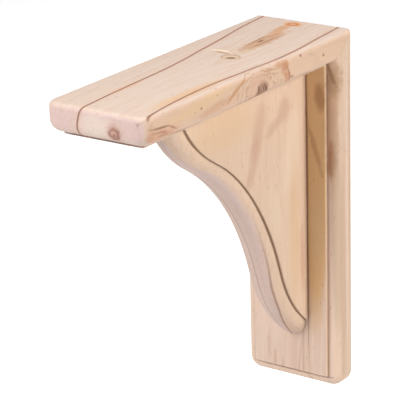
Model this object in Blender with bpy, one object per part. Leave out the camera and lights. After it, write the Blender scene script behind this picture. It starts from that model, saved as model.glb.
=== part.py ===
"""Wooden corbel bracket of three pieces, in metres with +Z up.

A moulded shelf board and a moulded wall plate meet in a mitre at the top of the wall, and an
ogee brace with a rounded front fills the corner between them. The wall is the plane y = 0,
the bracket stands out from it towards -Y, and the origin is the middle of the plate's back.
"""
from math import cos, pi, radians, sin

import bmesh
import bpy
from mathutils import Vector

# Overall sizes
WIDTH = 0.064               # board and plate, side to side
PROJECTION = 0.195          # wall to the front end of the board
HEIGHT = 0.213              # top of the board to the foot of the plate
BOARD_THICKNESS = 0.018
PLATE_THICKNESS = 0.018

# Edges of the board and the plate
OUTER_ROUND = 0.003         # arris of the top of the board and of the back of the plate
MOULD_RADIUS = 0.0070       # quarter-round cut along every moulded edge
EDGE_STEP = 0.0018          # drop from the moulded face to the quarter-round
FACE_CORNER = 0.0009        # radius at the two free corners of the moulded face

# Brace
BRACE_THICKNESS = 0.0224
BRACE_OFFSET = 0.0014       # the brace stands this far to the right of the middle
BRACE_DEPTH = 0.130         # along the underside of the board
BRACE_HEIGHT = 0.165        # down the front of the plate
BRACE_STEP = 0.0016         # drop from the side of the brace to its rounded front
BRACE_RIDGE = 0.0004        # flat left between the two quarter-rounds of the front

# Front curve of the brace: each span starts and ends at a slope in degrees below level, read
# towards the wall. Only the shares of the lengths count, as the curve is stretched to its box.
TOP_SLOPE = 67
HOLLOW_SLOPE = 31
SHANK_SLOPE = 70
TIP_SLOPE = 33
LIP_SHARE = 76              # radius of the swelling under the board
SWEEP_SHARE = 148           # radius of the hollow
SHANK_SHARE = 10            # length of the straight run
FOOT_SHARE = 90             # radius of the swelling at the foot

# Fit and fineness
GLUE_GAP = 0.0003           # between two pieces that touch
CORNER_STEPS = 9
ROUND_STEPS = 7
CURVE_STEPS = 54
END_OVERRUN = 0.02          # length of a blank past the joint before it is mitred
SHARP_ANGLE = 32

TOP = HEIGHT / 2


def clear_scene():
    """Removes whatever the file holds."""
    for item in list(bpy.data.objects):
        bpy.data.objects.remove(item, do_unlink=True)


def pine(name, colour, roughness):
    """Makes a plain Principled material for bare pine."""
    finish = bpy.data.materials.new(name)
    finish.use_nodes = True
    shader = finish.node_tree.nodes["Principled BSDF"]
    shader.inputs["Base Color"].default_value = (*colour, 1.0)
    shader.inputs["Roughness"].default_value = roughness
    shader.inputs["Metallic"].default_value = 0.0
    return finish


def arc(steps):
    """Yields angles over a quarter turn, both ends included."""
    for index in range(steps + 1):
        yield pi / 2 * index / steps


def stepped_round(step, radius, inset):
    """Gives (depth below the face, inset from the edge) down a step and round a quarter-round."""
    profile = [(0.0, inset)]
    for angle in arc(ROUND_STEPS):
        profile.append((step + radius * (1 - cos(angle)), inset - radius * sin(angle)))
    return profile


def rounded_edge(radius):
    """Gives (depth below the face, inset from the edge) along a plain rounded arris."""
    return [(radius * (1 - cos(angle)), radius * (1 - sin(angle))) for angle in arc(ROUND_STEPS)]


def loft(loops):
    """Skins closed loops of equal count, caps both ends and returns the bmesh."""
    shell = bmesh.new()
    rings = [[shell.verts.new(point) for point in loop] for loop in loops]
    count = len(rings[0])
    for lower, upper in zip(rings, rings[1:]):
        for index in range(count):
            following = (index + 1) % count
            shell.faces.new((lower[index], lower[following], upper[following], upper[index]))
    shell.faces.new(list(reversed(rings[0])))
    shell.faces.new(rings[-1])
    bmesh.ops.recalc_face_normals(shell, faces=shell.faces)
    return shell


def add_object(name, shell, finish):
    """Turns a bmesh into a named object with its faces out, its arrises sharp and its finish on."""
    bmesh.ops.recalc_face_normals(shell, faces=shell.faces)
    mesh = bpy.data.meshes.new(name)
    shell.to_mesh(mesh)
    shell.free()
    mesh.shade_smooth()
    mesh.set_sharp_from_angle(angle=radians(SHARP_ANGLE))
    mesh.materials.append(finish)
    item = bpy.data.objects.new(name, mesh)
    bpy.context.scene.collection.objects.link(item)
    return item


def blank_outline(length, inset):
    """Outlines a blank as (across, along): square past the joint, rounded at its free end."""
    half = WIDTH / 2 - inset
    end = length - inset
    radius = FACE_CORNER + MOULD_RADIUS - inset
    right = [(half - radius + radius * cos(angle), end - radius + radius * sin(angle))
             for angle in arc(CORNER_STEPS)]
    left = [(-across, along) for across, along in reversed(right)]
    return [(half, -END_OVERRUN)] + right + left + [(-half, -END_OVERRUN)]


def blank_loops(length, thickness):
    """Gives the loops of a blank as (across, along, depth below its outer face)."""
    levels = rounded_edge(OUTER_ROUND)
    moulding = stepped_round(EDGE_STEP, MOULD_RADIUS, MOULD_RADIUS)
    levels += [(thickness - depth, inset) for depth, inset in reversed(moulding)]
    return [[(across, along, depth) for across, along in blank_outline(length, inset)]
            for depth, inset in levels]


def mitre(shell, keep_side):
    """Cuts a blank on the plane from the top of the wall to the inner corner, and closes it."""
    inner = Vector((0, -PLATE_THICKNESS, TOP - BOARD_THICKNESS))
    outer = Vector((0, 0, TOP))
    across = Vector((1, 0, 0)).cross(outer - inner).normalized()
    if across.dot(keep_side) > 0:
        across.negate()
    cut = bmesh.ops.bisect_plane(
        shell, geom=shell.verts[:] + shell.edges[:] + shell.faces[:],
        plane_co=outer - across * GLUE_GAP / 2, plane_no=across, clear_outer=True)
    rim = [item for item in cut["geom_cut"] if isinstance(item, bmesh.types.BMEdge)]
    bmesh.ops.contextual_create(shell, geom=rim)


def top_board(finish):
    """Lays the shelf board along -Y with its moulded face down."""
    loops = [[(across, -along, TOP - depth) for across, along, depth in loop]
             for loop in blank_loops(PROJECTION, BOARD_THICKNESS)]
    shell = loft(loops)
    mitre(shell, Vector((0, -1, 0)))
    return add_object("top_board", shell, finish)


def back_plate(finish):
    """Stands the wall plate along -Z with its moulded face to the front."""
    loops = [[(across, -depth, TOP - along) for across, along, depth in loop]
             for loop in blank_loops(HEIGHT, PLATE_THICKNESS)]
    shell = loft(loops)
    mitre(shell, Vector((0, 0, -1)))
    return add_object("back_plate", shell, finish)


def ogee_spans():
    """Draws the front curve with arcs: a list of (point, slope in radians), from the board down."""
    place = Vector((0.0, 0.0))
    drawn = [(place.copy(), radians(TOP_SLOPE))]
    spans = ((TOP_SLOPE, HOLLOW_SLOPE, LIP_SHARE), (HOLLOW_SLOPE, SHANK_SLOPE, SWEEP_SHARE),
             (SHANK_SLOPE, SHANK_SLOPE, SHANK_SHARE), (SHANK_SLOPE, TIP_SLOPE, FOOT_SHARE))
    for start, end, share in spans:
        first = radians(start)
        turn = radians(end - start)
        length = share * abs(turn) if turn else share
        for index in range(1, CURVE_STEPS + 1):
            slope = first + turn * (index - 0.5) / CURVE_STEPS
            place = place + Vector((cos(slope), -sin(slope))) * length / CURVE_STEPS
            drawn.append((place.copy(), first + turn * index / CURVE_STEPS))
    return drawn


def ogee_line(inset):
    """Gives the front curve as (y, z) points, moved into the wood by the inset and trimmed.

    The curve starts on the top edge of the brace and ends on its rear edge.
    """
    rear = -PLATE_THICKNESS - GLUE_GAP
    top = TOP - BOARD_THICKNESS - GLUE_GAP
    drawn = ogee_spans()
    reach, drop = drawn[-1][0]
    stretch = Vector((BRACE_DEPTH / reach, BRACE_HEIGHT / -drop))
    line = []
    for place, slope in drawn:
        heading = Vector((cos(slope) * stretch.x, -sin(slope) * stretch.y)).normalized()
        inward = Vector((-heading.y, heading.x))
        point = Vector((rear - BRACE_DEPTH + place.x * stretch.x, top + place.y * stretch.y))
        line.append(point + inward * inset)
    line = trimmed(line, 1, top)
    line = trimmed(line[::-1], 0, rear)[::-1]
    return even_points(line)


def trimmed(line, axis, limit):
    """Cuts off the start of a line down to where it crosses the limit, running on if it is short."""
    index = 1
    while line[index][axis] > limit:
        index += 1
    share = (limit - line[index][axis]) / (line[index - 1][axis] - line[index][axis])
    return [line[index].lerp(line[index - 1], share)] + line[index:]


def even_points(line):
    """Sets a fixed number of points at even distances along a line."""
    lengths = [0.0]
    for before, after in zip(line, line[1:]):
        lengths.append(lengths[-1] + (after - before).length)
    points = []
    index = 1
    for step in range(CURVE_STEPS + 1):
        target = lengths[-1] * step / CURVE_STEPS
        while index < len(line) - 1 and lengths[index] < target:
            index += 1
        share = (target - lengths[index - 1]) / (lengths[index] - lengths[index - 1])
        points.append(line[index - 1].lerp(line[index], share))
    return points


def brace(finish):
    """Makes the brace: one outline carried from side to side, inset towards its two sides."""
    corner = Vector((-PLATE_THICKNESS - GLUE_GAP, TOP - BOARD_THICKNESS - GLUE_GAP))
    half = BRACE_THICKNESS / 2
    radius = half - BRACE_STEP - BRACE_RIDGE / 2
    profile = stepped_round(BRACE_STEP, radius, radius)
    levels = [(half - depth, inset) for depth, inset in profile]
    levels += [(depth - half, inset) for depth, inset in reversed(profile)]
    loops = [[(BRACE_OFFSET + across, place.x, place.y) for place in [corner] + ogee_line(inset)]
             for across, inset in levels]
    return add_object("brace", loft(loops), finish)


def main():
    """Builds the bracket."""
    clear_scene()
    top_board(pine("board_pine", (0.80, 0.66, 0.54), 0.62))
    back_plate(pine("plate_pine", (0.77, 0.61, 0.48), 0.62))
    brace(pine("brace_pine", (0.76, 0.59, 0.44), 0.62))


main()
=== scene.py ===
"""Wooden corbel bracket in bare pine: a moulded shelf board, a moulded wall plate and an ogee brace.

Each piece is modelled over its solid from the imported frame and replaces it. The wall is the
plane y = 0, the bracket stands out towards -Y, and +Z is up. Patterns are worked out in
millimetres from Object coordinates, so a growth ring runs on from one face of a piece to the next.
Colours are given as they look on a screen, 0 to 255.
"""

import logging
import math
from collections.abc import Callable, Iterator, Sequence
from contextlib import contextmanager
from dataclasses import dataclass, field
from enum import Enum
from functools import reduce

import bmesh
import bpy
from mathutils import Matrix, Vector


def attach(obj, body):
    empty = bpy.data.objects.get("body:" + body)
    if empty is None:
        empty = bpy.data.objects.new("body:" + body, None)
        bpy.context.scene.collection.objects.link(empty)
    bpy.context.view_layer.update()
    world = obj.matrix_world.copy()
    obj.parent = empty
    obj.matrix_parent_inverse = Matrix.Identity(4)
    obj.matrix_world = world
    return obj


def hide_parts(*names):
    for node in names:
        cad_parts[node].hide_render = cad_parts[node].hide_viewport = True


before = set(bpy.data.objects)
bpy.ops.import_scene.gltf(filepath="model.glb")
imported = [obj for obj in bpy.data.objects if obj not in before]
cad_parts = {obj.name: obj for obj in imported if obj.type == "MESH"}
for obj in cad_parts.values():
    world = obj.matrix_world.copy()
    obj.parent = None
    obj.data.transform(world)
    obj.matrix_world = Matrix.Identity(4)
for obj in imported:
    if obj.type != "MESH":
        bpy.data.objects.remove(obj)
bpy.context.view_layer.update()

LOG = logging.getLogger("corbel")
MM = 0.001
TOP = 0.1065                        # height of the board's plain face
NEAR = MM / 50                      # places closer than this are one and the same
MERGE = 0.000002                    # points closer than this are joined
FACE_ANGLE = math.radians(30)       # faces that meet more sharply keep their arris in the shading
DOWNWARDS = -0.9                    # how far down the normal of a face points that looks down
EASE_ANGLE = math.radians(40)       # arrises flatter than this aren't eased
RECESS = "recess_shade"                   # mesh layer with the shade at the foot of each step
RECESS_FOLD = math.radians(25)      # how sharply two faces meet there at the least
RECESS_SPREAD = 0.003               # how far the shade reaches
RECESS_STRIDE = 0.0014              # edges longer than this don't carry it on

Point = tuple[float, float, float]
Colour = tuple[int, int, int]
Socket = bpy.types.NodeSocket


def light(colour: Colour) -> tuple[float, ...]:
    """Turns a screen colour into the light that it stands for.

    Args:
        colour: Red, green and blue, 0 to 255.

    Returns:
        Linear red, green and blue, and 1 for full cover.
    """
    shares = (part / 255 for part in colour)
    return (*(s / 12.92 if s <= 0.04045 else ((s + 0.055) / 1.055) ** 2.4 for s in shares), 1.0)


def direction(azimuth: float, elevation: float) -> Vector:
    """Gives the way from the bracket to a camera or a lamp.

    Args:
        azimuth: Degrees round from the front, towards the right.
        elevation: Degrees up from level.

    Returns:
        A vector one metre long.
    """
    turn, rise = math.radians(azimuth), math.radians(elevation)
    return Vector((math.sin(turn) * math.cos(rise), -math.cos(turn) * math.cos(rise), math.sin(rise)))


# ---- Modelling ----


class Side(Enum):
    """The two sides of a piece."""

    LEFT = -1
    RIGHT = 1


class Pick(Enum):
    """What a tool works on."""

    FACES = "FACE"
    EDGES = "EDGE"


def climb(edge: bmesh.types.BMEdge) -> float:
    """Gives the difference in height between the ends of an edge."""
    return abs(edge.verts[0].co.z - edge.verts[1].co.z)


def looks_down(face: bmesh.types.BMFace) -> bool:
    """Says whether a face looks down."""
    return face.normal.z < DOWNWARDS


class Workpiece:
    """One mesh object on the bench, cut and shaped with edit-mode tools."""

    def __init__(self, name: str, size: Point, centre: Point) -> None:
        """Starts from a squared block.

        Args:
            name: Name of the finished piece.
            size: Edge lengths along X, Y and Z, in metres.
            centre: Middle of the block.
        """
        bpy.ops.object.select_all(action="DESELECT")
        bpy.ops.mesh.primitive_cube_add(size=1.0, location=centre, scale=size)
        self.item = bpy.context.object
        self.item.name = name
        self.item.data.name = name
        self.keep_place()

    def take(self) -> None:
        """Selects this piece and no other."""
        bpy.ops.object.select_all(action="DESELECT")
        self.item.select_set(True)
        bpy.context.view_layer.objects.active = self.item

    def keep_place(self) -> None:
        """Moves the object's place, turn and scale into its mesh."""
        bpy.ops.object.transform_apply(location=True, rotation=True, scale=True)

    @contextmanager
    def shaping(self) -> Iterator[None]:
        """Opens edit mode with nothing selected, and closes it again.

        Yields:
            Nothing. The tools used meanwhile work on this piece.
        """
        self.take()
        bpy.ops.object.mode_set(mode="EDIT")
        bpy.ops.mesh.select_mode(type=Pick.FACES.value)
        bpy.ops.mesh.select_all(action="DESELECT")
        yield
        bpy.ops.object.mode_set(mode="OBJECT")

    def pick(self, kind: Pick, wanted: Callable[[object], bool]) -> None:
        """Selects the faces or edges that pass a test, and no others.

        Args:
            kind: Whether faces or edges are picked.
            wanted: Says of a face or an edge whether it is picked.
        """
        bpy.ops.mesh.select_mode(type=kind.value)
        bpy.ops.mesh.select_all(action="DESELECT")
        mesh = bmesh.from_edit_mesh(self.item.data)
        for part in filter(wanted, mesh.faces if kind is Pick.FACES else mesh.edges):
            part.select_set(True)
        bmesh.update_edit_mesh(self.item.data)

    def saw(self, point: Vector, towards: Vector) -> None:
        """Saws off all that lies beyond a plane and closes the cut.

        Args:
            point: A point on the plane.
            towards: Normal of the plane, pointing to the waste.
        """
        with self.shaping():
            bpy.ops.mesh.select_all(action="SELECT")
            bpy.ops.mesh.bisect(plane_co=point, plane_no=towards, use_fill=True, clear_outer=True)

    def turn(self, axis: Vector, angle: float, pivot: Vector) -> None:
        """Turns the whole piece and keeps the turn in its mesh.

        Args:
            axis: Axis of the turn.
            angle: Angle in radians.
            pivot: A point on the axis.
        """
        place = Matrix.Translation(pivot)
        self.item.matrix_world = place @ Matrix.Rotation(angle, 4, axis) @ place.inverted()
        self.take()
        self.keep_place()

    def cut_away(self, tool: "Workpiece") -> None:
        """Cuts another block's shape out of this piece, and throws that block away.

        Args:
            tool: The block that gives the shape of the cut.
        """
        cut = self.item.modifiers.new("cut", "BOOLEAN")
        cut.operation = "DIFFERENCE"
        cut.solver = "EXACT"
        cut.object = tool.item
        self.apply("cut")
        bpy.data.objects.remove(tool.item, do_unlink=True)

    def ease(self, width: float) -> None:
        """Takes the sharpness off every arris.

        Args:
            width: Width of the eased strip.
        """
        bevel = self.item.modifiers.new("ease", "BEVEL")
        bevel.width = width
        bevel.segments = 2
        bevel.limit_method = "ANGLE"
        bevel.angle_limit = EASE_ANGLE
        bevel.use_clamp_overlap = True
        self.apply("ease")

    def note_recesses(self) -> None:
        """Notes how close each point lies to the foot of a step, for the shade painted there."""
        mesh = bmesh.new()
        mesh.from_mesh(self.item.data)
        layer = mesh.verts.layers.float.new(RECESS)
        reached = {vert for edge in mesh.edges if edge.calc_face_angle_signed(0.0) < -RECESS_FOLD
                   for vert in edge.verts}
        for vert in reached:
            vert[layer] = 1.0
        while reached:
            onward = set()
            for vert in reached:
                for edge in vert.link_edges:
                    beside = edge.other_vert(vert)
                    left = vert[layer] - edge.calc_length() / RECESS_SPREAD
                    if edge.calc_length() < RECESS_STRIDE and left > beside[layer]:
                        beside[layer] = left
                        onward.add(beside)
            reached = onward
        mesh.to_mesh(self.item.data)
        mesh.free()

    def apply(self, modifier: str) -> None:
        """Applies one modifier.

        Args:
            modifier: Its name.
        """
        self.take()
        bpy.ops.object.modifier_apply(modifier=modifier)

    def finish(self, material: bpy.types.Material, node: str, slot: str) -> bpy.types.Object:
        """Shades the piece, gives it its finish and sets it in the frame.

        Args:
            material: Its finish.
            node: The solid that it replaces.
            slot: Not used.

        Returns:
            The finished object.
        """
        with self.shaping():
            bpy.ops.mesh.select_all(action="SELECT")
            bpy.ops.mesh.remove_doubles(threshold=MERGE)
            bpy.ops.mesh.normals_make_consistent(inside=False)
        self.note_recesses()
        bpy.ops.object.shade_smooth_by_angle(angle=FACE_ANGLE)
        self.item.data.materials.clear()
        self.item.data.materials.append(material)
        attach(self.item, "root")
        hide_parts(node)
        return self.item


@dataclass
class MouldedBlank:
    """A board with one plain face and one moulded face, mitred at its far end.

    It is shaped lying as the shelf board does: plain face up, free end towards -Y.
    """

    length: float
    thickness: float = 0.018
    width: float = 0.064
    outer_round: float = 0.003      # arris of the plain face
    mould_radius: float = 0.007
    step: float = 0.0018            # from the quarter-round down to the moulded face
    face_corner: float = 0.0009     # radius of the moulded face's corners
    face_arris: float = 0.00085     # softening of its edge
    overrun: float = 0.02           # length past the joint before the mitre
    gap: float = 0.00006            # glue line of the mitre
    eased: float = 0.00022
    round_steps: int = 12
    arris_steps: int = 4

    @property
    def body(self) -> float:
        """Thickness from the plain face to the quarter-round."""
        return self.thickness - self.step - self.mould_radius

    def shape(self, name: str) -> Workpiece:
        """Shapes the blank and mitres it.

        Args:
            name: Name of the piece.

        Returns:
            The shaped blank.
        """
        middle = (0.0, (self.overrun - self.length) / 2, TOP - self.body / 2)
        blank = Workpiece(name, (self.width, self.length + self.overrun, self.body), middle)
        self.round_corners(blank)
        self.mould(blank)
        self.round_face(blank)
        blank.ease(self.eased)
        self.mitre(blank)
        return blank

    def round_corners(self, blank: Workpiece) -> None:
        """Rounds the two upright edges at the free end.

        Args:
            blank: The blank.
        """
        with blank.shaping():
            blank.pick(Pick.EDGES, lambda edge: climb(edge) > MM and all(
                v.co.y < -self.length + MM / 10 for v in edge.verts))
            bpy.ops.mesh.bevel(offset=self.face_corner + self.mould_radius,
                               segments=self.round_steps, affect="EDGES", clamp_overlap=False)

    def mould(self, blank: Workpiece) -> None:
        """Runs the cutter round the lower face: a quarter-round, then a step with a soft arris.

        Args:
            blank: The blank.
        """
        with blank.shaping():
            blank.pick(Pick.FACES, looks_down)
            inset = depth = 0.0
            for index in range(1, self.round_steps + 1):
                angle = math.pi / 2 * (1 - index / self.round_steps)
                across = self.mould_radius * (1 - math.sin(angle))
                down = self.mould_radius * math.cos(angle)
                bpy.ops.mesh.inset(thickness=across - inset, depth=down - depth, use_even_offset=True)
                inset, depth = across, down
            bpy.ops.mesh.extrude_region_move(TRANSFORM_OT_translate={"value": (0, 0, -self.step)})
            bpy.ops.mesh.region_to_loop()
            bpy.ops.mesh.bevel(offset=self.face_arris, segments=self.arris_steps, affect="EDGES",
                               clamp_overlap=False)

    def round_face(self, blank: Workpiece) -> None:
        """Rounds the arris of the plain face.

        Args:
            blank: The blank.
        """
        with blank.shaping():
            blank.pick(Pick.EDGES, lambda edge: all(v.co.z > TOP - MM / 10 for v in edge.verts))
            bpy.ops.mesh.bevel(offset=self.outer_round, segments=self.round_steps // 2,
                               affect="EDGES", clamp_overlap=False)

    def mitre(self, blank: Workpiece) -> None:
        """Cuts the far end on the plane that runs from the wall's top to the inner corner.

        Args:
            blank: The blank.
        """
        towards = Vector((0, 1, -1)).normalized()
        blank.saw(Vector((0, 0, TOP)) - towards * self.gap / 2, towards)


# ---- Finishes ----


class Wiring:
    """Shorthand for joining nodes in one tree."""

    def __init__(self, tree: bpy.types.NodeTree) -> None:
        """Takes the tree to wire.

        Args:
            tree: The node tree.
        """
        self.tree = tree

    def node(self, kind: str, **settings: object) -> bpy.types.Node:
        """Adds a node.

        Args:
            kind: Its type, without the ShaderNode in front.
            **settings: Properties to set on it.

        Returns:
            The node.
        """
        made = self.tree.nodes.new("ShaderNode" + kind)
        for key, value in settings.items():
            setattr(made, key, value)
        return made

    def feed(self, socket: Socket, value: object) -> None:
        """Links or sets one input.

        Args:
            socket: The input.
            value: Another node's output, or a plain value.
        """
        if isinstance(value, Socket):
            self.tree.links.new(value, socket)
        else:
            socket.default_value = value

    def math(self, operation: str, *values: object) -> Socket:
        """Works out one sum.

        Args:
            operation: Name of the operation.
            *values: One or two inputs.

        Returns:
            The result.
        """
        made = self.node("Math", operation=operation)
        for socket, value in zip(made.inputs, values):
            self.feed(socket, value)
        return made.outputs[0]

    def times(self, *values: object) -> Socket:
        """Multiplies two or more values."""
        return reduce(lambda first, second: self.math("MULTIPLY", first, second), values)

    def plus(self, first: object, second: object) -> Socket:
        """Adds two values."""
        return self.math("ADD", first, second)

    def minus(self, first: object, second: object) -> Socket:
        """Takes the second value from the first."""
        return self.math("SUBTRACT", first, second)

    def size(self, value: object) -> Socket:
        """Gives a value without its sign."""
        return self.math("ABSOLUTE", value)

    def vector(self, operation: str, *values: object) -> Socket:
        """Works out one vector sum.

        Args:
            operation: Name of the operation.
            *values: The inputs, in order.

        Returns:
            The result: a length or dot product where that is what was asked.
        """
        made = self.node("VectorMath", operation=operation)
        for socket, value in zip(made.inputs, values):
            self.feed(socket, value)
        return made.outputs["Value" if operation in ("LENGTH", "DOT_PRODUCT") else "Vector"]

    def drawn_out(self, place: object, share: float) -> Socket:
        """Draws a pattern out along the grain, by counting a share of the way along."""
        return self.vector("MULTIPLY", place, (1, 1, share))

    def ramp(self, value: object, low: object, high: object, start: float = 0.0,
             end: float = 1.0) -> Socket:
        """Maps a range smoothly onto another.

        Args:
            value: The input.
            low: Where the change starts.
            high: Where it ends.
            start: Result below the range.
            end: Result above it.

        Returns:
            The mapped value.
        """
        made = self.node("MapRange", interpolation_type="SMOOTHSTEP")
        for name, given in (("Value", value), ("From Min", low), ("From Max", high),
                            ("To Min", start), ("To Max", end)):
            self.feed(made.inputs[name], given)
        return made.outputs["Result"]

    def fade(self, value: object, low: object, high: object) -> Socket:
        """Falls smoothly from 1 to 0 over a range."""
        return self.ramp(value, low, high, 1.0, 0.0)

    def noise(self, place: Socket, scale: object, detail: float, rough: float = 0.5) -> Socket:
        """Makes a soft noise.

        Args:
            place: Where it is read.
            scale: Its fineness.
            detail: Its octaves.
            rough: How strong the finer octaves are.

        Returns:
            The noise, about 0 to 1.
        """
        made = self.node("TexNoise")
        for name, given in (("Vector", place), ("Scale", scale), ("Detail", detail),
                            ("Roughness", rough)):
            self.feed(made.inputs[name], given)
        return made.outputs["Fac"]

    def waver(self, place: object, scale: object, detail: float, rough: float = 0.5) -> Socket:
        """Makes a soft noise, as above, that swings about nought."""
        return self.minus(self.noise(place, scale, detail, rough), 0.5)

    def split(self, value: object) -> tuple[Socket, ...]:
        """Parts a vector into X, Y and Z.

        Args:
            value: The vector.

        Returns:
            Its three parts.
        """
        made = self.node("SeparateXYZ")
        self.feed(made.inputs[0], value)
        return tuple(made.outputs)

    def join(self, *values: object) -> Socket:
        """Joins X, Y and Z into a vector.

        Args:
            *values: The three parts.

        Returns:
            The vector.
        """
        made = self.node("CombineXYZ")
        for socket, value in zip(made.inputs, values):
            self.feed(socket, value)
        return made.outputs[0]

    def blend(self, share: object, first: Socket | Colour, second: Colour) -> Socket:
        """Lays one colour over another.

        Args:
            share: How much of the second shows.
            first: Colour below, another node's output or a screen colour.
            second: Screen colour on top.

        Returns:
            The blended colour.
        """
        made = self.node("Mix", data_type="RGBA")
        below, above, blended = made.inputs[6], made.inputs[7], made.outputs[2]
        self.feed(made.inputs["Factor"], share)
        self.feed(below, light(first) if isinstance(first, tuple) else first)
        self.feed(above, light(second))
        return blended

    def tint(self, tint: "Tint", pattern: Socket, where: object, colour: Socket) -> Socket:
        """Lays a tint over a colour.

        Args:
            tint: The tint.
            pattern: The pattern that brings it up.
            where: How much of it shows there, 0 to 1.
            colour: The colour so far.

        Returns:
            The colour.
        """
        share = self.ramp(pattern, tint.start, tint.end, 0.0, tint.strength)
        return self.blend(self.times(share, where), colour, tint.colour)


class Effect:
    """A shader node group with named inputs and outputs."""

    def __init__(self, name: str, takes: dict[str, float | Point], gives: Sequence[str]) -> None:
        """Makes the empty group.

        Args:
            name: Name of the group.
            takes: Default value of each input: three numbers make it a vector.
            gives: Output names, all of them floats.
        """
        self.tree = bpy.data.node_groups.new(name, "ShaderNodeTree")
        for key, value in takes.items():
            kind = "NodeSocketVector" if isinstance(value, tuple) else "NodeSocketFloat"
            socket = self.tree.interface.new_socket(key, in_out="INPUT", socket_type=kind)
            socket.default_value = value
        for key in gives:
            self.tree.interface.new_socket(key, in_out="OUTPUT", socket_type="NodeSocketFloat")
        self.wires = Wiring(self.tree)
        self.source = self.tree.nodes.new("NodeGroupInput")
        self.result = self.tree.nodes.new("NodeGroupOutput")

    def take(self, name: str) -> Socket:
        """Gives an input of the group, as seen from inside."""
        return self.source.outputs[name]

    def give(self, name: str, value: Socket) -> None:
        """Sends a value out of the group."""
        self.tree.links.new(value, self.result.inputs[name])

    def place(self, wires: Wiring, **values: object) -> bpy.types.Node:
        """Places the group in a material.

        Args:
            wires: The material's wiring.
            **values: Inputs, with underscores for spaces.

        Returns:
            The group's node.
        """
        made = wires.node("Group", node_tree=self.tree)
        for key, value in values.items():
            wires.feed(made.inputs[key.replace("_", " ")], value)
        return made


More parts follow.
